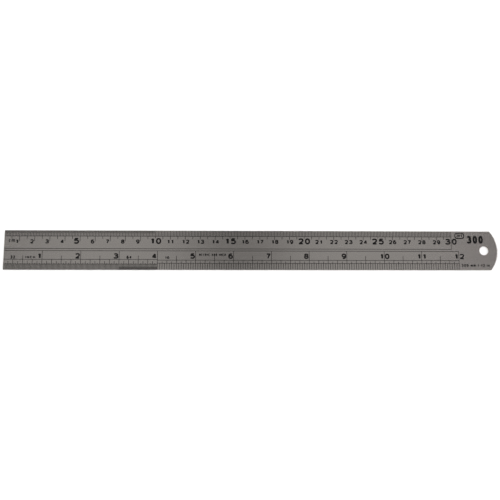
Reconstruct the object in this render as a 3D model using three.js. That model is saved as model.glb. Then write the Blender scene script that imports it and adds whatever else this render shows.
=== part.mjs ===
// A 30 cm / 12 inch stainless steel ruler: one flat blade with a rounded, drilled hanging end,
// and the black enamel that fills its engraved scales. Millimetres, +Z up, lying on its back.
// X runs along the ruler from the zero end to the hanging end, and +Y points to the metric edge.
// The origin is under the middle of the blade, on the surface that it lies on.
//
// Places on the face are given as [along, down]: the distance from the zero end and the distance
// from the metric edge, as on a drawing of the scales.

import * as THREE from 'three';

// Blade
const LENGTH = 331.3;
const WIDTH = 26.5;
const THICKNESS = 1;
const END_RISE = 4.8;             // how far the rounded end stands past its two corners
const HOLE_DIAMETER = 6;
const HOLE_FROM_TIP = 9.1;
const CURVE_SEGMENTS = 24;

// Enamel
const LINE = 0.32;                // width of every engraved line
const HALF_LINE = LINE / 2;
const ENAMEL = 0.03;              // height of the enamel on the face

// Metric scale
const METRIC_LENGTH = 300;
const METRIC_LINE = 3.85;
const METRIC_BORDER = 12.3;
const HALF_CM_REACH = 5.75;
const CM_REACH_BESIDE_NUMERAL = 7.3;
const CM_REACH_OVER_NUMERAL = 6;
const CM_REACH_OVER_LARGE_NUMERAL = 5.15;

// Inch scale. Its first four inches are finely divided, and have a deeper row of quarters
// and eighths than the rest, with the sixteenths rising a little above their long line.
const INCH = 25.4;
const INCHES = 12;
const FINE_INCHES = 4;
const INCH_BORDER = 13.7;
const HALF_INCH_REACH = 17;
const FINE = { upper: 19.5, eighth: 20.7, sixteenth: 21.95, lower: 22.6 };
const COARSE = { upper: 19.95, eighth: 20.75, lower: 22.05 };

const steel = new THREE.MeshStandardMaterial({ color: 0x8d8986, roughness: 0.38, metalness: 1 });
const enamel = new THREE.MeshStandardMaterial({ color: 0x161616, roughness: 0.5, metalness: 0 });

function named(name, geometry, material) {
  const mesh = new THREE.Mesh(geometry, material);
  mesh.name = name;
  return mesh;
}

// The graduations numbered first to last, a given distance apart, each as far as reach says.
function graduations(first, last, spacing, reach) {
  return Array.from({ length: last - first + 1 }, (_, index) => ({
    along: (first + index) * spacing,
    reach: reach(first + index),
  }));
}

// Leaves out each point that lies on the straight line between its neighbours.
function corners(points) {
  const tolerance = 1e-6;
  return points.filter(([along, down], index) => {
    const [beforeAlong, beforeDown] = points.at(index - 1);
    const [afterAlong, afterDown] = points[(index + 1) % points.length];
    const turn = (along - beforeAlong) * (afterDown - down)
      - (down - beforeDown) * (afterAlong - along);
    return Math.abs(turn) > tolerance;
  });
}

// The points along one side of a long line, out and back at each graduation that leaves it.
function lineSide(side, leaving) {
  return leaving.flatMap(({ along, reach }) => [
    [along - HALF_LINE, side],
    [along - HALF_LINE, reach],
    [along + HALF_LINE, reach],
    [along + HALF_LINE, side],
  ]);
}

// One joined piece of enamel: a long line on the face with the graduations above and below it.
function comb(name, { start = 0, end, line, above = [], below = [] }) {
  const upperSide = line - HALF_LINE;
  const lowerSide = line + HALF_LINE;
  const outline = corners([
    [start, upperSide],
    ...lineSide(upperSide, above),
    [end, upperSide],
    [end, lowerSide],
    ...lineSide(lowerSide, below).reverse(),
    [start, lowerSide],
  ]);
  const shape = new THREE.Shape(
    outline.map(([along, down]) => new THREE.Vector2(along, WIDTH - down)),
  );
  const geometry = new THREE.ExtrudeGeometry(shape, { depth: ENAMEL, bevelEnabled: false });
  geometry.translate(0, 0, THICKNESS);
  return named(name, geometry, enamel);
}

function blade() {
  const halfWidth = WIDTH / 2;
  const endRadius = (halfWidth ** 2 + END_RISE ** 2) / (2 * END_RISE);
  const endAngle = Math.asin(halfWidth / endRadius);
  const outline = new THREE.Shape();
  outline.moveTo(0, 0);
  outline.lineTo(LENGTH - END_RISE, 0);
  outline.absarc(LENGTH - endRadius, halfWidth, endRadius, -endAngle, endAngle, false);
  outline.lineTo(0, WIDTH);
  outline.closePath();

  const hole = new THREE.Path();
  hole.absarc(LENGTH - HOLE_FROM_TIP, halfWidth, HOLE_DIAMETER / 2, 0, 2 * Math.PI, true);
  outline.holes.push(hole);

  const geometry = new THREE.ExtrudeGeometry(outline, {
    depth: THICKNESS,
    bevelEnabled: false,
    curveSegments: CURVE_SEGMENTS,
  });
  return named('blade', geometry, steel);
}

// How far down the line at each half centimetre runs. Whole centimetres run on beside a single
// numeral, but only to the top of a numeral that stands across them.
function halfCentimetreReach(step) {
  if (step % 2 === 1) return HALF_CM_REACH;
  const centimetre = step / 2;
  if (centimetre < 10) return CM_REACH_BESIDE_NUMERAL;
  return centimetre % 5 === 0 ? CM_REACH_OVER_LARGE_NUMERAL : CM_REACH_OVER_NUMERAL;
}

// Every millimetre up to the edge, and the half and whole centimetres below their long line.
function metricGraduations() {
  const halfCentimetre = 5;
  const lastBelow = METRIC_LENGTH / halfCentimetre - 1;
  return comb('metric_graduations', {
    end: METRIC_LENGTH + HALF_LINE,
    line: METRIC_LINE,
    above: graduations(1, METRIC_LENGTH, 1, () => 0),
    below: graduations(1, lastBelow, halfCentimetre, halfCentimetreReach),
  });
}

// The line under the metric scale, turned up at its end to close the last centimetre.
function metricBorder() {
  return comb('metric_border', {
    end: METRIC_LENGTH + HALF_LINE,
    line: METRIC_BORDER,
    above: graduations(1, 1, METRIC_LENGTH, () => METRIC_LINE + HALF_LINE),
  });
}

// The first line of a length of the inch scale starts where the inch line before it ends.
function inchSpan(from, to) {
  return { start: from === 0 ? 0 : from * INCH + HALF_LINE, end: to * INCH + HALF_LINE };
}

// The odd eighths, and on the fine scale the odd sixteenths, that rise from the long line
// towards the row of quarters.
function risingGraduations(from, to, levels) {
  const sixteenthReach = (step) => (step % 2 === 0 ? levels.eighth : levels.sixteenth);
  return graduations(from * 16 + 1, to * 16, INCH / 16, sixteenthReach)
    .filter(({ reach }, index) => reach !== undefined && (index + 1) % 4 !== 0);
}

// The fine graduations of a length of the inch scale, from their long line down to the edge.
function inchGraduations(name, from, to, perInch, levels) {
  return comb(name, {
    ...inchSpan(from, to),
    line: levels.lower,
    above: risingGraduations(from, to, levels),
    below: graduations(from * perInch + 1, to * perInch, INCH / perInch, () => WIDTH),
  });
}

// The quarters of a length of the inch scale, with the halves and whole inches rising above.
function inchQuarters(name, from, to, levels) {
  const risingReach = (half) => (half % 2 === 0 ? INCH_BORDER + HALF_LINE : HALF_INCH_REACH);
  return comb(name, {
    ...inchSpan(from, to),
    line: levels.upper,
    above: graduations(from * 2 + 1, to * 2, INCH / 2, risingReach),
    below: graduations(from * 4 + 1, to * 4, INCH / 4, () => levels.lower - HALF_LINE),
  });
}

function inchBorder() {
  return comb('inch_border', { end: INCHES * INCH + HALF_LINE, line: INCH_BORDER });
}

const ruler = new THREE.Group();
ruler.position.set(-LENGTH / 2, -WIDTH / 2, 0);
ruler.add(
  blade(),
  metricGraduations(),
  metricBorder(),
  inchGraduations('inch_graduations_32nds', 0, 3, 32, FINE),
  inchGraduations('inch_graduations_64ths', 3, FINE_INCHES, 32, FINE),
  inchGraduations('inch_graduations_16ths', FINE_INCHES, INCHES, 16, COARSE),
  inchQuarters('inch_quarters_fine', 0, FINE_INCHES, FINE),
  inchQuarters('inch_quarters_coarse', FINE_INCHES, INCHES, COARSE),
  inchBorder(),
);

export default ruler;
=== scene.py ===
"""A 30 cm / 12 inch stainless steel ruler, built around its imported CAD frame.

The CAD blade and scales are replaced by a blade with rounded edges and real engraved grooves,
and by the black enamel that fills them. Places on the face are given in millimetres as they are
on a drawing of the scales: along, from the zero end, and down, from the metric edge.
"""

import math

import bmesh
import bpy
from mathutils import Matrix, Vector
from mathutils.geometry import delaunay_2d_cdt


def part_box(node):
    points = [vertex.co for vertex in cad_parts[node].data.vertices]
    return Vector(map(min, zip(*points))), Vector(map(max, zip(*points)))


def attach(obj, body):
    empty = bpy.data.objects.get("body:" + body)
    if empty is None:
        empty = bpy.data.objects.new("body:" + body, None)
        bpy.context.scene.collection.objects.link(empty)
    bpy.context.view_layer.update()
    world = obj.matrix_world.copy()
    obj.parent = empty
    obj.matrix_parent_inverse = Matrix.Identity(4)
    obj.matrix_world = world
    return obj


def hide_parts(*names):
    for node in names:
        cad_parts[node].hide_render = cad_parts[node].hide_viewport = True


MM = 0.001

# Engraving
LINE = 0.32
HALF_LINE = LINE / 2
FINEST_LINE = 0.23
GROOVE_DEPTH = 0.06
ENAMEL_BELOW_FACE = 0.012
ENAMEL_INTO_FLOOR = 0.003         # how far the enamel sinks into the floor of its groove
EDGE_MARGIN = 0.08
OVERCUT = 0.5                     # how far the cutters reach out past the blade
NO_TURN = 1e-6                    # a smaller turn leaves three points in line

# Blade edges
EDGE_ROUND = 0.08
EDGE_STEPS = 5
CORNER_RADIUS = 0.35
CORNER_STEPS = 6
END_RISE = 4.8
END_STEPS = 48
HOLE_RADIUS = 3.0
HOLE_FROM_TIP = 9.1
HOLE_STEPS = 32                   # in half its circle
SHARP_ANGLE = math.radians(8)

# Metric scale
METRIC_LENGTH = 300
CENTIMETRE = 10
LARGE_NUMERAL_EVERY = 5           # centimetres
METRIC_LINE = 3.85
METRIC_BORDER = 12.3
HALF_CM_REACH = 5.75
CM_REACH_BESIDE_NUMERAL = 7.3
CM_REACH_OVER_NUMERAL = 6.0
CM_REACH_OVER_LARGE_NUMERAL = 5.15
HALF_MM_REACH = 1.9
HALF_MM_LENGTH = 100

# Inch scale
INCH = 25.4
INCHES = 12
FINE_INCHES = 4
FINEST_INCH = 3
INCH_BORDER = 13.7
HALF_INCH_REACH = 17
SIXTYFOURTH_LENGTH = 2.1
FINE = {"upper": 19.5, "lower": 22.6, "eighth": 20.7, "sixteenth": 21.95}
COARSE = {"upper": 19.95, "lower": 22.05, "eighth": 20.75}

# Studio light. A direction's height is its upward part, from 0 at the horizon to 1 overhead. Its
# slope is how far it leans along the ruler for one step up. A pair is where a fade starts and ends.
BACKDROP_TOP = (0.13, 0.22)
BACKDROP_LIGHT = 0.8
WALL_TOP = (0.55, 0.8)
WALL_LIGHT = 1.25
DIM_WALL_TOP = (0.5, 0.62)
DIM_WALL_SHARE = 0.3
LAMP_DIRECTION = (0.728, 0.302, 0.616)
LAMP_EDGE = (0.94, 0.967)         # cosines of the angle from the lamp's middle
LAMP_LIGHT = 3.4
PANEL_LIGHT = 0.44
ZERO_END_FADE = (-0.46, -0.28)
ZERO_END_SHARE = 0.4
HANGING_END_FADE = (0.4, 0.48)
BOOM_SLOPE = 0.007
BOOM_EDGE = (0.05, 0.085)
BOOM_LIGHT = 0.195
BLUSH_SLOPE = (0.38, 0.46)
BLUSH_HEIGHT = (0.7, 0.85)
STUDIO_WHITE = (1, 0.995, 0.99, 1)
STUDIO_BLUSH = (1, 0.93, 0.99, 1)

# Floor and camera, in metres
FLOOR_HALF = 3.0
SENSOR_WIDTH = 36                 # millimetres, as is the focal length
FOCAL_LENGTH = 43.2
CAMERA_PLACE = Vector((-0.014024, -0.057097, 0.39936))
CAMERA_AIM = Vector((-0.002267, 0.000243, 0.001))
CAMERA_ROLL = math.radians(-0.126)


# ---------------------------------------------------------------- frame

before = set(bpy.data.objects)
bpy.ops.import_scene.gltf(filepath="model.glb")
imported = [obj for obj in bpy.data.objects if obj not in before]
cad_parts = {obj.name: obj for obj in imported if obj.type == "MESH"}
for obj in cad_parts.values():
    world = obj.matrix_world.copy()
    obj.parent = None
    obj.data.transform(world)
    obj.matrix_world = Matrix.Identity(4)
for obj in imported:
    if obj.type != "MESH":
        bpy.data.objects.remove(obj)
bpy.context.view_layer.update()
low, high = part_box("blade")
LENGTH = (high.x - low.x) / MM
WIDTH = (high.y - low.y) / MM
THICKNESS = (high.z - low.z) / MM


def place(along, down, height):
    """A point on the ruler, in metres in the row's frame."""
    return Vector((low.x + along * MM, high.y - down * MM, low.z + height * MM))


# ---------------------------------------------------------------- mesh helpers

def new_object(name, mesh):
    piece = bpy.data.objects.new(name, mesh)
    bpy.context.scene.collection.objects.link(piece)
    return piece


def prisms(name, outlines, bottom, top):
    """One mesh of upright prisms, one for each outline of (along, down) points."""
    work = bmesh.new()
    for outline in outlines:
        lower = [work.verts.new(place(along, down, bottom)) for along, down in outline]
        upper = [work.verts.new(place(along, down, top)) for along, down in outline]
        work.faces.new(lower)
        work.faces.new(reversed(upper))
        for index in range(len(outline)):
            after = (index + 1) % len(outline)
            work.faces.new((lower[after], lower[index], upper[index], upper[after]))
    bmesh.ops.recalc_face_normals(work, faces=work.faces)
    mesh = bpy.data.meshes.new(name)
    work.to_mesh(mesh)
    work.free()
    return new_object(name, mesh)


def combine(piece, other, operation):
    """Joins other to piece or cuts it away, and removes other."""
    modifier = piece.modifiers.new(operation, "BOOLEAN")
    modifier.operation = operation
    modifier.solver = "MANIFOLD"
    modifier.object = other
    graph = bpy.context.evaluated_depsgraph_get()
    before = piece.data
    piece.data = bpy.data.meshes.new_from_object(piece.evaluated_get(graph))
    piece.modifiers.clear()
    bpy.data.meshes.remove(before)
    bpy.data.objects.remove(other)


# ---------------------------------------------------------------- graduations

def graduations(first, last, spacing, reach):
    """The graduations numbered first to last, as (along, reach)."""
    return [(step * spacing, reach(step)) for step in range(first, last + 1)]


def corners(points):
    """Leaves out each point on the straight line between its neighbours."""
    kept = []
    for index, (along, down) in enumerate(points):
        before = points[index - 1]
        after = points[(index + 1) % len(points)]
        turn = (along - before[0]) * (after[1] - down) - (down - before[1]) * (after[0] - along)
        if abs(turn) > NO_TURN:
            kept.append((along, down))
    return kept


def line_side(side, leaving):
    """The points along one side of a long line, out and back at each graduation."""
    points = []
    for along, reach in leaving:
        left, right = along - HALF_LINE, along + HALF_LINE
        points += [(left, side), (left, reach), (right, reach), (right, side)]
    return points


def comb(line, end, start=EDGE_MARGIN, above=(), below=()):
    """The outline of a long line with the graduations above and below it."""
    upper_side = line - HALF_LINE
    lower_side = line + HALF_LINE
    return corners([
        (start, upper_side),
        *line_side(upper_side, above),
        (end, upper_side),
        (end, lower_side),
        *reversed(line_side(lower_side, below)),
        (start, lower_side),
    ])


def bar(left, right, top, bottom):
    return [(left, top), (right, top), (right, bottom), (left, bottom)]


def finest_lines(steps, spacing, start, end):
    half = FINEST_LINE / 2
    return [bar(step * spacing - half, step * spacing + half, start, end) for step in steps]


def half_centimetre_reach(step):
    if step % 2 == 1:
        return HALF_CM_REACH
    centimetre = step // 2
    if centimetre < 10:
        return CM_REACH_BESIDE_NUMERAL
    if centimetre % LARGE_NUMERAL_EVERY:
        return CM_REACH_OVER_NUMERAL
    return CM_REACH_OVER_LARGE_NUMERAL


def metric_graduations():
    half_centimetre = CENTIMETRE // 2
    return comb(
        METRIC_LINE,
        METRIC_LENGTH + HALF_LINE,
        above=graduations(1, METRIC_LENGTH, 1, lambda step: EDGE_MARGIN),
        below=graduations(
            1, METRIC_LENGTH // half_centimetre - 1, half_centimetre, half_centimetre_reach
        ),
    )


def metric_border():
    top = METRIC_LINE + HALF_LINE
    return comb(
        METRIC_BORDER,
        METRIC_LENGTH + HALF_LINE,
        above=graduations(1, 1, METRIC_LENGTH, lambda step: top),
    )


def inch_start(inch):
    return EDGE_MARGIN if inch == 0 else inch * INCH + HALF_LINE


def inch_graduations(first, last, per_inch, levels):
    sixteenths = graduations(
        first * 16 + 1, last * 16, INCH / 16,
        lambda step: levels["eighth"] if step % 2 == 0 else levels.get("sixteenth"),
    )
    return comb(
        levels["lower"],
        last * INCH + HALF_LINE,
        start=inch_start(first),
        above=[
            (along, reach) for index, (along, reach) in enumerate(sixteenths, 1)
            if reach and index % 4
        ],
        below=graduations(
            first * per_inch + 1, last * per_inch, INCH / per_inch,
            lambda step: WIDTH - EDGE_MARGIN,
        ),
    )


def inch_quarters(first, last, levels):
    inch_reach = INCH_BORDER + HALF_LINE
    return comb(
        levels["upper"],
        last * INCH + HALF_LINE,
        start=inch_start(first),
        above=graduations(
            first * 2 + 1, last * 2, INCH / 2,
            lambda half: inch_reach if half % 2 == 0 else HALF_INCH_REACH,
        ),
        below=graduations(
            first * 4 + 1, last * 4, INCH / 4, lambda step: levels["lower"] - HALF_LINE
        ),
    )


# ---------------------------------------------------------------- lettering
#
# A character is drawn in a box one unit high. It is a list of strokes, each a ribbon along a
# line of points. Lines run down the middle of the stroke, so they are given in a box of their
# own that is a stroke smaller all round.

ROUND_STEP = 12
SQUARENESS = 2.25
MITRE_LIMIT = 2.5
SAME_PLACE = 1e-6
TINY_AREA = 1e-9
WELD_DISTANCE = 1e-5


def arc(across, up, half_width, half_height, start, end):
    """Points along an oval, from one angle to another in degrees."""
    steps = max(3, round(abs(end - start) / ROUND_STEP))
    points = []
    for step in range(steps + 1):
        angle = math.radians(start + (end - start) * step / steps)
        cosine, sine = math.cos(angle), math.sin(angle)
        points.append((
            across + half_width * math.copysign(abs(cosine) ** (2 / SQUARENESS), cosine),
            up + half_height * math.copysign(abs(sine) ** (2 / SQUARENESS), sine),
        ))
    return points


def curve(start, pull, end, steps=6):
    """Points along a bend that leaves start and reaches end, both towards pull."""
    points = []
    for step in range(steps + 1):
        t = step / steps
        points.append(tuple(
            (1 - t) ** 2 * a + 2 * t * (1 - t) * b + t ** 2 * c
            for a, b, c in zip(start, pull, end)
        ))
    return points


def six():
    return [
        arc(0.5, 0.31, 0.5, 0.31, 0, 360),
        [(0, 0.31)] + arc(0.56, 0.52, 0.56, 0.48, 180, 62),
    ]


def turned(strokes):
    return [[(1 - across, 1 - up) for across, up in stroke] for stroke in strokes]


def two():
    top = arc(0.5, 0.72, 0.47, 0.28, 165, -25)
    return [top + curve(top[-1], (0.82, 0.36), (0.05, 0.02))[1:], [(0, 0), (1, 0)]]


# Each character: its width for a height of one, and its strokes. A stroke whose first and last
# points are the same is a closed ring.
CHARACTERS = {
    "0": (0.84, [arc(0.5, 0.5, 0.5, 0.5, 0, 360)]),
    "1": (0.54, [[(1, 0), (1, 1)], [(0.74, 0), (0.74, 1)], [(0.95, 0.97), (0.04, 0.72)]]),
    "2": (0.9, two()),
    "3": (0.9, [
        arc(0.47, 0.76, 0.42, 0.24, 160, -90),
        arc(0.47, 0.26, 0.53, 0.26, 90, -160),
        [(0.3, 0.52), (0.5, 0.52)],
    ]),
    "4": (0.9, [[(0.72, 0), (0.72, 1)], [(0, 0.25), (1, 0.25)], [(0.66, 0.98), (0.03, 0.27)]]),
    "5": (0.86, [
        [(0.1, 1), (0.95, 1)],
        [(0.14, 1), (0.07, 0.48)],
        arc(0.47, 0.33, 0.53, 0.33, 142, -155),
    ]),
    "6": (0.84, six()),
    "7": (0.86, [[(0, 1), (1, 1)], curve((0.97, 0.98), (0.45, 0.5), (0.36, 0))]),
    "8": (0.82, [arc(0.5, 0.765, 0.43, 0.235, 0, 360), arc(0.5, 0.265, 0.5, 0.265, 0, 360)]),
    "9": (0.84, turned(six())),
    "A": (0.8, [[(0, 0), (0.5, 1)], [(1, 0), (0.5, 1)], [(0.2, 0.32), (0.8, 0.32)]]),
    "C": (0.78, [arc(0.5, 0.5, 0.5, 0.5, 45, 315)]),
    "D": (0.76, [[(0, 0), (0, 1)], [(0, 1)] + arc(0.35, 0.5, 0.65, 0.5, 90, -90) + [(0, 0)]]),
    "E": (0.66, [[(0, 0), (0, 1)], [(0, 1), (1, 1)], [(0, 0.5), (0.9, 0.5)], [(0, 0), (1, 0)]]),
    "H": (0.76, [[(0, 0), (0, 1)], [(1, 0), (1, 1)], [(0, 0.5), (1, 0.5)]]),
    "I": (0.16, [[(0.5, 0), (0.5, 1)]]),
    "M": (0.92, [[(0, 0), (0, 1)], [(1, 0), (1, 1)], [(0, 1), (0.5, 0.2)], [(1, 1), (0.5, 0.2)]]),
    "N": (0.78, [[(0, 0), (0, 1)], [(1, 0), (1, 1)], [(0.03, 1), (0.97, 0)]]),
    "R": (0.76, [
        [(0, 0), (0, 1)],
        [(0, 1)] + arc(0.5, 0.74, 0.5, 0.26, 90, -90) + [(0, 0.48)],
        [(0.5, 0.48), (1, 0)],
    ]),
    "T": (0.72, [[(0, 1), (1, 1)], [(0.5, 0), (0.5, 1)]]),
    "c": (0.62, [arc(0.5, 0.36, 0.5, 0.36, 50, 310)]),
    "i": (0.16, [[(0.5, 0), (0.5, 0.72)], [(0.5, 0.9), (0.5, 1)]]),
    "m": (1.0, [
        [(0, 0), (0, 0.72)],
        arc(0.25, 0.44, 0.25, 0.28, 160, 0) + [(0.5, 0)],
        arc(0.75, 0.44, 0.25, 0.28, 160, 0) + [(1, 0)],
    ]),
    "n": (0.58, [[(0, 0), (0, 0.72)], arc(0.5, 0.44, 0.5, 0.28, 160, 0) + [(1, 0)]]),
    "/": (0.5, [[(0, 0), (1, 1)]]),
    "°": (0.3, [arc(0.5, 0.83, 0.5, 0.17, 0, 360)]),
    " ": (0.35, []),
}


def stroke_patches(points, half):
    """The area of a stroke as overlapping (along, up) patches: a box along each part of the
    line and a mitre on the outside of each bend."""
    closed = math.dist(points[0], points[-1]) < SAME_PLACE
    points = [Vector(point) for point in (points[:-1] if closed else points)]
    ends = points[1:] + points[:1] if closed else points[1:]
    parts = []
    for start, end in zip(points, ends):
        side = (end - start).normalized().orthogonal() * half
        parts.append((start, end, side))
    patches = [[start - side, start + side, end + side, end - side] for start, end, side in parts]
    followed = zip(parts, parts[1:] + parts[:1]) if closed else zip(parts, parts[1:])
    for (_, bend, side), (_, _, next_side) in followed:
        outward = 1 if side.cross(next_side) < 0 else -1
        tip = (side + next_side) * outward / (1 + side.dot(next_side) / half ** 2)
        corner = [bend, bend + side * outward, bend + next_side * outward]
        if tip.length < MITRE_LIMIT * half:
            corner.insert(2, bend + tip)
        patches.append(corner)
    return patches


def area(points):
    turns = zip(points, points[1:] + points[:1])
    return sum(one.cross(other) for one, other in turns) / 2


def merged_triangles(patches):
    """Corner points and triangles of the area that overlapping patches cover."""
    points, faces = [], []
    for patch in patches:
        if abs(area(patch)) < TINY_AREA:
            continue
        if area(patch) < 0:
            patch = patch[::-1]
        faces.append(list(range(len(points), len(points) + len(patch))))
        points += patch
    places, _, triangles, _, _, sources = delaunay_2d_cdt(points, [], faces, 1, WELD_DISTANCE)
    return places, [triangle for triangle, source in zip(triangles, sources) if source]


def raise_area(work, places, triangles, bottom, top):
    """Adds an upright solid over triangles, whose points are (along, up) in millimetres."""
    used = sorted({index for triangle in triangles for index in triangle})
    lower = {i: work.verts.new(place(places[i].x, -places[i].y, bottom)) for i in used}
    upper = {i: work.verts.new(place(places[i].x, -places[i].y, top)) for i in used}
    edges = set()
    for triangle in triangles:
        work.faces.new([upper[index] for index in triangle])
        work.faces.new([lower[index] for index in reversed(triangle)])
        edges.update(zip(triangle, (*triangle[1:], triangle[0])))
    for start, end in edges:
        if (end, start) not in edges:
            work.faces.new((lower[start], lower[end], upper[end], upper[start]))


def text_width(text, height, stroke, gap, narrowing):
    widths = [max(CHARACTERS[character][0] * height * narrowing, stroke) for character in text]
    return sum(widths) + gap * (len(text) - 1)


def character_patches(text, left, baseline, height, stroke, gap, narrowing):
    """The patches of each character of a line of text."""
    along = left
    for character in text:
        width = text_width(character, height, stroke, 0, narrowing)
        patches = []
        for points in CHARACTERS[character][1]:
            line = [
                (
                    along + stroke / 2 + across * (width - stroke),
                    -baseline + stroke / 2 + up * (height - stroke),
                )
                for across, up in points
            ]
            patches += stroke_patches(line, stroke / 2)
        if patches:
            yield patches
        along += width + gap


# ---------------------------------------------------------------- enamel pieces

ENAMEL_TOP = THICKNESS - ENAMEL_BELOW_FACE
ENAMEL_BOTTOM = THICKNESS - GROOVE_DEPTH - ENAMEL_INTO_FLOOR


def line_piece(name, *outlines):
    return prisms(name, outlines, ENAMEL_BOTTOM, ENAMEL_TOP)


def drawn_piece(name, drawings):
    """One piece of enamel over several separate drawings, each a list of patches."""
    work = bmesh.new()
    for patches in drawings:
        places, triangles = merged_triangles(patches)
        raise_area(work, places, triangles, ENAMEL_BOTTOM, ENAMEL_TOP)
    mesh = bpy.data.meshes.new(name)
    work.to_mesh(mesh)
    work.free()
    return new_object(name, mesh)


def text_piece(name, texts, *drawings):
    """Lettering from (text, left, baseline, height, stroke, gap, narrowing) entries."""
    letters = [patches for entry in texts for patches in character_patches(*entry)]
    return drawn_piece(name, [*letters, *drawings])


def fitted(text, left, right, baseline, height, stroke, spacing=0.8):
    """A line of text drawn wider or narrower to fill the length between left and right."""
    gap = spacing * stroke
    room = right - left - gap * (len(text) - 1)
    narrowing = room / text_width(text, height, stroke, 0, 1)
    return (text, left, baseline, height, stroke, gap, narrowing)


# Numerals: height, stroke, baseline, how far a single digit ends before its line, half the gap
# between two digits on their line, and the room that a 1 keeps on each side.
SMALL = {
    "height": 2.85, "stroke": 0.74, "baseline": 8.9, "before": 0.5, "gap": 0.2, "beside_1": 0.3,
}
LARGE = {
    "height": 4.15, "stroke": 1.04, "baseline": 9.13, "before": 0.6, "gap": 0.43, "beside_1": 0.45,
}
INCH_STYLE = {
    "height": 3.75, "stroke": 0.94, "baseline": 19.05, "before": 0.42, "gap": 0.36,
    "beside_1": 0.45,
}

# The box round the temperature mark
BOX_CORNER = 1.5
BOX_LINE = 0.68


def numeral(value, line, style):
    """A single digit before its line, or two digits on either side of it."""
    entries = []
    digits = str(value)
    for index, digit in enumerate(digits):
        beside = style["beside_1"] if digit == "1" else 0
        width = text_width(digit, style["height"], style["stroke"], 0, 1)
        if len(digits) == 1:
            left = line - style["before"] - beside - width
        elif index == 0:
            left = line - style["gap"] - beside - width
        else:
            left = line + style["gap"] + beside
        entries.append((digit, left, style["baseline"], style["height"], style["stroke"], 0, 1))
    return entries


def numerals(values, spacing, style):
    return [entry for value in values for entry in numeral(value, value * spacing, style)]


def rounded_box(left, right, top, bottom, radius):
    """A closed line round a box with rounded corners, as (along, up) points."""
    points = []
    for along, down, start in (
        (right - radius, top + radius, 0),
        (left + radius, top + radius, 90),
        (left + radius, bottom - radius, 180),
        (right - radius, bottom - radius, 270),
    ):
        for step in range(CORNER_STEPS + 1):
            angle = math.radians(start + 90 * step / CORNER_STEPS)
            points.append((along + radius * math.cos(angle), -down + radius * math.sin(angle)))
    return points + [points[0]]


centimetres = range(1, METRIC_LENGTH // CENTIMETRE + 1)
small_numbers = [number for number in centimetres if number % LARGE_NUMERAL_EVERY]
large_numbers = [number for number in centimetres if number % LARGE_NUMERAL_EVERY == 0]

# Each label: its text, left and right ends, baseline, height, stroke, and the gap between
# letters as a share of the stroke.
enamel_pieces = [
    line_piece("metric_graduations_enamel", metric_graduations()),
    line_piece("metric_border_enamel", metric_border()),
    line_piece(
        "half_millimetre_enamel",
        *finest_lines(
            [step + 0.5 for step in range(HALF_MM_LENGTH)], 1, EDGE_MARGIN, HALF_MM_REACH
        ),
    ),
    line_piece("inch_32nds_enamel", inch_graduations(0, FINEST_INCH, 32, FINE)),
    line_piece(
        "inch_64ths_enamel",
        inch_graduations(FINEST_INCH, FINE_INCHES, 32, FINE),
        *finest_lines(
            [FINEST_INCH * 64 + step for step in range(1, 64, 2)], INCH / 64,
            WIDTH - SIXTYFOURTH_LENGTH, WIDTH - EDGE_MARGIN,
        ),
    ),
    line_piece("inch_16ths_enamel", inch_graduations(FINE_INCHES, INCHES, 16, COARSE)),
    line_piece("inch_quarters_fine_enamel", inch_quarters(0, FINE_INCHES, FINE)),
    line_piece("inch_quarters_coarse_enamel", inch_quarters(FINE_INCHES, INCHES, COARSE)),
    line_piece("inch_border_enamel", comb(INCH_BORDER, INCHES * INCH + HALF_LINE)),
    text_piece("small_centimetre_numerals", numerals(small_numbers, CENTIMETRE, SMALL)),
    text_piece("large_centimetre_numerals", numerals(large_numbers, CENTIMETRE, LARGE)),
    text_piece("inch_numerals", numerals(range(1, INCHES + 1), INCH, INCH_STYLE)),
    text_piece("unit_labels", [
        fitted("cm", 3.0, 7.1, 8.0, 2.55, 0.56),
        fitted("INCH", 14.4, 21.0, 18.85, 1.65, 0.54),
    ]),
    text_piece("division_labels", [
        fitted("32", 4.55, 7.75, 19.1, 2.2, 0.68, 0.4),
        fitted("64", 81.1, 84.55, 19.15, 2.2, 0.7, 0.4),
        fitted("16", 106.6, 109.6, 19.15, 1.8, 0.44),
    ]),
    text_piece("scale_names", [
        fitted("METRIC AND INCH", 129.3, 146.6, 17.2, 1.85, 0.56, 0.6),
    ]),
    text_piece("size_mark", [fitted("300", 310.7, 321.9, 8.35, 5.4, 1.35, 0.6)]),
    text_piece("length_label", [
        fitted("300 mm / 12 in", 306.3, 325.4, 24.25, 2.0, 0.52),
    ]),
    text_piece(
        "temperature_mark",
        [fitted("20°C", 303.8, 307.95, 3.9, 1.95, 0.5, 0.5)],
        stroke_patches(rounded_box(302.75, 308.9, 1.2, 4.75, BOX_CORNER), BOX_LINE / 2),
    ),
]
enamel = {piece.name: piece for piece in enamel_pieces}


# ---------------------------------------------------------------- blade

def end_arc(inset):
    """Points round the hanging end, from the inch edge to the metric edge, moved inwards."""
    half_width = WIDTH / 2
    radius = (half_width ** 2 + END_RISE ** 2) / (2 * END_RISE)
    centre = LENGTH - radius
    reach = math.asin((half_width - inset) / (radius - inset))
    points = []
    for step in range(END_STEPS + 1):
        angle = reach * (2 * step / END_STEPS - 1)
        points.append((
            centre + (radius - inset) * math.cos(angle),
            half_width - (radius - inset) * math.sin(angle),
        ))
    return points


def zero_corner(down, start, inset):
    radius = CORNER_RADIUS - inset
    points = []
    for step in range(CORNER_STEPS + 1):
        angle = math.radians(start + 90 * step / CORNER_STEPS)
        points.append((CORNER_RADIUS + radius * math.cos(angle), down - radius * math.sin(angle)))
    return points


def outline(inset):
    """The blade's outline moved inwards, from the middle of the zero end by the inch edge."""
    return [
        (inset, WIDTH / 2),
        *zero_corner(WIDTH - CORNER_RADIUS, 180, inset),
        *end_arc(inset),
        *zero_corner(CORNER_RADIUS, 90, inset),
    ]


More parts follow.
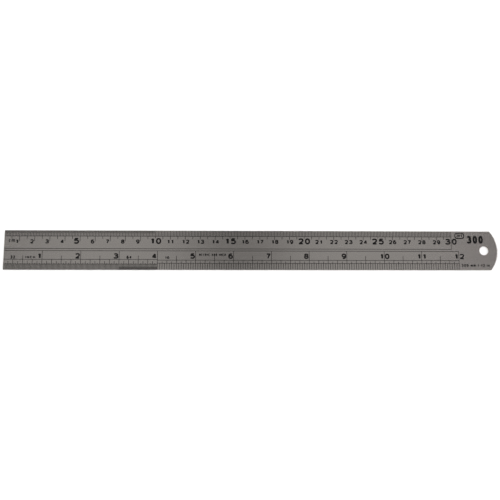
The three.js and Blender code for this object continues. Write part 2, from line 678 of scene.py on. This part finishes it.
def hole_outline(inset):
    """The hanging hole's outline from the zero side round by the inch edge, opened out."""
    radius = HOLE_RADIUS + inset
    count = 2 * HOLE_STEPS
    points = []
    for step in range(count):
        angle = math.pi + 2 * math.pi * step / count
        points.append((
            LENGTH - HOLE_FROM_TIP + radius * math.cos(angle),
            WIDTH / 2 - radius * math.sin(angle),
        ))
    return points


def edge_profile():
    """(inset, height) down over the rounded top edge and round the bottom one."""
    top = []
    for step in range(EDGE_STEPS + 1):
        angle = math.radians(90 * step / EDGE_STEPS)
        inset = EDGE_ROUND * (1 - math.sin(angle))
        top.append((inset, THICKNESS - EDGE_ROUND * (1 - math.cos(angle))))
    return top + [(inset, THICKNESS - height) for inset, height in reversed(top)]


def build_blade():
    work = bmesh.new()
    walls = []
    for loop in (outline, hole_outline):
        rings = [
            [work.verts.new(place(along, down, height)) for along, down in loop(inset)]
            for inset, height in edge_profile()
        ]
        for upper, lower in zip(rings, rings[1:]):
            for index in range(len(upper)):
                after = (index + 1) % len(upper)
                work.faces.new((upper[index], upper[after], lower[after], lower[index]))
        walls.append(rings)
    outer, inner = walls
    tip = 1 + (CORNER_STEPS + 1) + END_STEPS // 2
    for level in (0, -1):
        rim, hole = outer[level], inner[level]
        work.faces.new(rim[:tip + 1] + list(reversed(hole[:HOLE_STEPS + 1])))
        work.faces.new([*rim[tip:], rim[0], hole[0], *reversed(hole[HOLE_STEPS:])])
    bmesh.ops.recalc_face_normals(work, faces=work.faces)
    mesh = bpy.data.meshes.new("blade_steel")
    work.to_mesh(mesh)
    work.free()
    return new_object("blade_steel", mesh)


def groove_cutter(piece):
    """A copy of an enamel piece that cuts its groove: to its full depth, out through the face,
    and out over the blade's edges where the enamel stops short of them."""
    mesh = piece.data.copy()
    middle = low.z + (ENAMEL_TOP + ENAMEL_BOTTOM) / 2 * MM
    margin = 2 * EDGE_MARGIN * MM
    for vertex in mesh.vertices:
        point = vertex.co
        height = THICKNESS + OVERCUT if point.z > middle else THICKNESS - GROOVE_DEPTH
        point.z = low.z + height * MM
        if point.x < low.x + margin:
            point.x = low.x - OVERCUT * MM
        if point.y > high.y - margin:
            point.y = high.y + OVERCUT * MM
        if point.y < low.y + margin:
            point.y = low.y - OVERCUT * MM
    return new_object("cutter", mesh)


blade = build_blade()
for piece in enamel.values():
    combine(blade, groove_cutter(piece), "DIFFERENCE")


# ---------------------------------------------------------------- materials

def add(tree, kind, inputs=None, **settings):
    """A new node with its settings, and its inputs set to a value or linked from a socket."""
    node = tree.nodes.new(kind)
    for name, value in settings.items():
        setattr(node, name, value)
    for name, value in (inputs or {}).items():
        if isinstance(value, bpy.types.NodeSocket):
            tree.links.new(value, node.inputs[name])
        else:
            node.inputs[name].default_value = value
    return node


def new_material(name):
    material = bpy.data.materials.new(name)
    material.use_nodes = True
    material.node_tree.nodes.clear()
    return material, material.node_tree


def finish_material(tree, shader):
    add(tree, "ShaderNodeOutputMaterial", {"Surface": shader.outputs[0]})


def grain(tree, along, across, detail, seed):
    """Noise drawn out along the blade, with its length and width in metres."""
    position = add(tree, "ShaderNodeTexCoord").outputs["Object"]
    stretched = add(tree, "ShaderNodeMapping", {
        "Vector": position,
        "Location": (seed, seed, seed),
        "Scale": (1 / along, 1 / across, 1 / across),
    })
    return add(tree, "ShaderNodeTexNoise", {
        "Vector": stretched.outputs[0], "Scale": 1.0, "Detail": detail, "Roughness": 0.6,
    }).outputs["Fac"]


def mapped(tree, value, start, end, low_in=0.3, high_in=0.7):
    return add(tree, "ShaderNodeMapRange", {
        "Value": value, "From Min": low_in, "From Max": high_in, "To Min": start, "To Max": end,
    }).outputs[0]


def calculated(tree, operation, *values):
    return add(tree, "ShaderNodeMath", dict(enumerate(values)), operation=operation).outputs[0]


def summed(tree, first, second):
    return calculated(tree, "ADD", first, second)


def faded(tree, value, start, end, at_start, at_end):
    return add(tree, "ShaderNodeMapRange", {
        "Value": value, "From Min": start, "From Max": end, "To Min": at_start, "To Max": at_end,
    }, interpolation_type="SMOOTHSTEP").outputs[0]


def steel(name, dark, light, rough, variation, bump):
    material, tree = new_material(name)
    fine = grain(tree, along=0.02, across=0.00009, detail=3, seed=0.3)
    coarse = grain(tree, along=0.06, across=0.0006, detail=2, seed=5.1)
    cloud = grain(tree, along=0.03, across=0.012, detail=2, seed=9.7)
    streaks = summed(tree, mapped(tree, fine, 0, 0.5), mapped(tree, coarse, 0, 0.5))
    colour = add(tree, "ShaderNodeMix", {
        "Factor": streaks, "A": (*dark, 1), "B": (*light, 1),
    }, data_type="RGBA")
    roughness = summed(
        tree,
        mapped(tree, streaks, rough - variation, rough + variation, 0, 1),
        mapped(tree, cloud, -variation / 2, variation / 2),
    )
    relief = add(tree, "ShaderNodeBump", {
        "Height": streaks, "Strength": bump, "Distance": 0.000004,
    })
    crosswise = add(tree, "ShaderNodeVectorTransform", {
        "Vector": (0, 1, 0),
    }, vector_type="VECTOR", convert_from="OBJECT", convert_to="WORLD")
    shader = add(tree, "ShaderNodeBsdfPrincipled", {
        "Base Color": colour.outputs["Result"],
        "Metallic": 1.0,
        "Roughness": roughness,
        "Anisotropic": 0.7,
        "Tangent": crosswise.outputs[0],
        "Normal": relief.outputs[0],
    })
    finish_material(tree, shader)
    return material


def enamel_material():
    material, tree = new_material("scale_enamel")
    mottle = grain(tree, along=0.0006, across=0.0006, detail=4, seed=2.2)
    wear = grain(tree, along=0.015, across=0.004, detail=3, seed=7.4)
    tone = summed(tree, mapped(tree, mottle, 0, 0.5), mapped(tree, wear, 0, 0.5))
    colour = add(tree, "ShaderNodeMix", {
        "Factor": tone, "A": (0.002, 0.002, 0.0022, 1), "B": (0.0055, 0.0052, 0.005, 1),
    }, data_type="RGBA")
    relief = add(tree, "ShaderNodeBump", {"Height": mottle, "Strength": 0.3, "Distance": 0.00001})
    shader = add(tree, "ShaderNodeBsdfPrincipled", {
        "Base Color": colour.outputs["Result"],
        "Roughness": mapped(tree, mottle, 0.28, 0.42),
        "Specular IOR Level": 0.1,
        "Normal": relief.outputs[0],
    })
    finish_material(tree, shader)
    return material


FACE_STEEL = steel(
    "face_steel", dark=(0.493, 0.464, 0.44), light=(0.527, 0.497, 0.468),
    rough=0.25, variation=0.02, bump=0.25,
)
EDGE_STEEL = steel(
    "edge_steel", dark=(0.52, 0.495, 0.47), light=(0.62, 0.59, 0.565),
    rough=0.24, variation=0.06, bump=0.4,
)
ENAMEL = enamel_material()


def finish_blade():
    """Flat faces keep the satin steel, rounded edges and ground sides the brighter one."""
    blade.data.materials.clear()
    blade.data.materials.append(FACE_STEEL)
    blade.data.materials.append(EDGE_STEEL)
    for polygon in blade.data.polygons:
        polygon.material_index = 0 if abs(polygon.normal.z) > math.cos(SHARP_ANGLE) else 1
        polygon.use_smooth = True
    blade.data.set_sharp_from_angle(angle=SHARP_ANGLE)


finish_blade()
for piece in enamel.values():
    piece.data.materials.clear()
    piece.data.materials.append(ENAMEL)


# ---------------------------------------------------------------- joining the frame

REPLACED = {
    "metric_graduations_enamel": ["metric_graduations"],
    "metric_border_enamel": ["metric_border"],
    "inch_32nds_enamel": ["inch_graduations_32nds"],
    "inch_64ths_enamel": ["inch_graduations_64ths"],
    "inch_16ths_enamel": ["inch_graduations_16ths"],
    "inch_quarters_fine_enamel": ["inch_quarters_fine"],
    "inch_quarters_coarse_enamel": ["inch_quarters_coarse"],
    "inch_border_enamel": ["inch_border"],
}

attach(blade, "root")
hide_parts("blade")
for name, piece in enamel.items():
    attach(piece, "root")
    if name in REPLACED:
        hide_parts(*REPLACED[name])


# ---------------------------------------------------------------- stage

def build_floor():
    mesh = bpy.data.meshes.new("floor")
    sides = ((-1, -1), (1, -1), (1, 1), (-1, 1))
    mesh.from_pydata([(x * FLOOR_HALF, y * FLOOR_HALF, 0) for x, y in sides], [], [(0, 1, 2, 3)])
    floor = new_object("floor", mesh)
    material, tree = new_material("pale_floor")
    shader = add(tree, "ShaderNodeBsdfPrincipled", {
        "Base Color": (0.93, 0.93, 0.93, 1), "Roughness": 0.9,
    })
    finish_material(tree, shader)
    mesh.materials.append(material)


def build_sky():
    """A soft studio: pale walls, a round lamp in each quarter, and over the ruler a grey panel
    that dims towards its ends, with the darker boom that holds the camera across it."""
    world = bpy.data.worlds.new("studio")
    bpy.context.scene.world = world
    world.use_nodes = True
    tree = world.node_tree
    tree.nodes.clear()
    direction = add(tree, "ShaderNodeTexCoord").outputs["Generated"]
    axes = add(tree, "ShaderNodeSeparateXYZ", {"Vector": direction}).outputs
    height = axes["Z"]
    slope = calculated(tree, "DIVIDE", axes["X"], height)

    backdrop = faded(tree, height, *BACKDROP_TOP, BACKDROP_LIGHT, 0)
    walls = calculated(
        tree, "MULTIPLY",
        faded(tree, height, *WALL_TOP, WALL_LIGHT, 0),
        faded(tree, height, *DIM_WALL_TOP, DIM_WALL_SHARE, 1),
    )
    quadrant = add(tree, "ShaderNodeVectorMath", {0: direction}, operation="ABSOLUTE").outputs[0]
    towards_lamp = add(tree, "ShaderNodeVectorMath", {
        0: quadrant, 1: LAMP_DIRECTION,
    }, operation="DOT_PRODUCT").outputs["Value"]
    lamps = faded(tree, towards_lamp, *LAMP_EDGE, 0, LAMP_LIGHT)

    zero_end = faded(tree, slope, *ZERO_END_FADE, ZERO_END_SHARE, 1)
    hanging_end = faded(tree, slope, *HANGING_END_FADE, 1, 0)
    from_boom = calculated(tree, "ABSOLUTE", calculated(tree, "SUBTRACT", slope, BOOM_SLOPE))
    boom = faded(tree, from_boom, *BOOM_EDGE, BOOM_LIGHT, PANEL_LIGHT)
    panel = calculated(tree, "MULTIPLY", zero_end, hanging_end)
    overhead = calculated(tree, "MULTIPLY", panel, boom)
    surroundings = summed(tree, backdrop, walls)
    strength = summed(tree, summed(tree, surroundings, lamps), overhead)

    blush = calculated(
        tree, "MULTIPLY",
        faded(tree, slope, *BLUSH_SLOPE, 0, 1),
        faded(tree, height, *BLUSH_HEIGHT, 0, 1),
    )
    colour = add(tree, "ShaderNodeMix", {
        "Factor": blush, "A": STUDIO_WHITE, "B": STUDIO_BLUSH,
    }, data_type="RGBA")
    background = add(tree, "ShaderNodeBackground", {
        "Color": colour.outputs["Result"], "Strength": strength,
    })
    add(tree, "ShaderNodeOutputWorld", {"Surface": background.outputs[0]})


def build_camera():
    data = bpy.data.cameras.new("camera")
    data.sensor_width = SENSOR_WIDTH
    data.lens = FOCAL_LENGTH
    data.clip_start = 0.01
    camera = bpy.data.objects.new("camera", data)
    bpy.context.scene.collection.objects.link(camera)
    forward = (CAMERA_AIM - CAMERA_PLACE).normalized()
    right = forward.cross(Vector((0, 1, 0))).normalized()
    up = right.cross(forward)
    facing = Matrix((right, up, -forward)).transposed().to_4x4()
    roll = Matrix.Rotation(CAMERA_ROLL, 4, "Z")
    camera.matrix_world = Matrix.Translation(CAMERA_PLACE) @ facing @ roll
    bpy.context.scene.camera = camera


build_floor()
build_sky()
build_camera()
bpy.context.scene.view_settings.view_transform = "Standard"
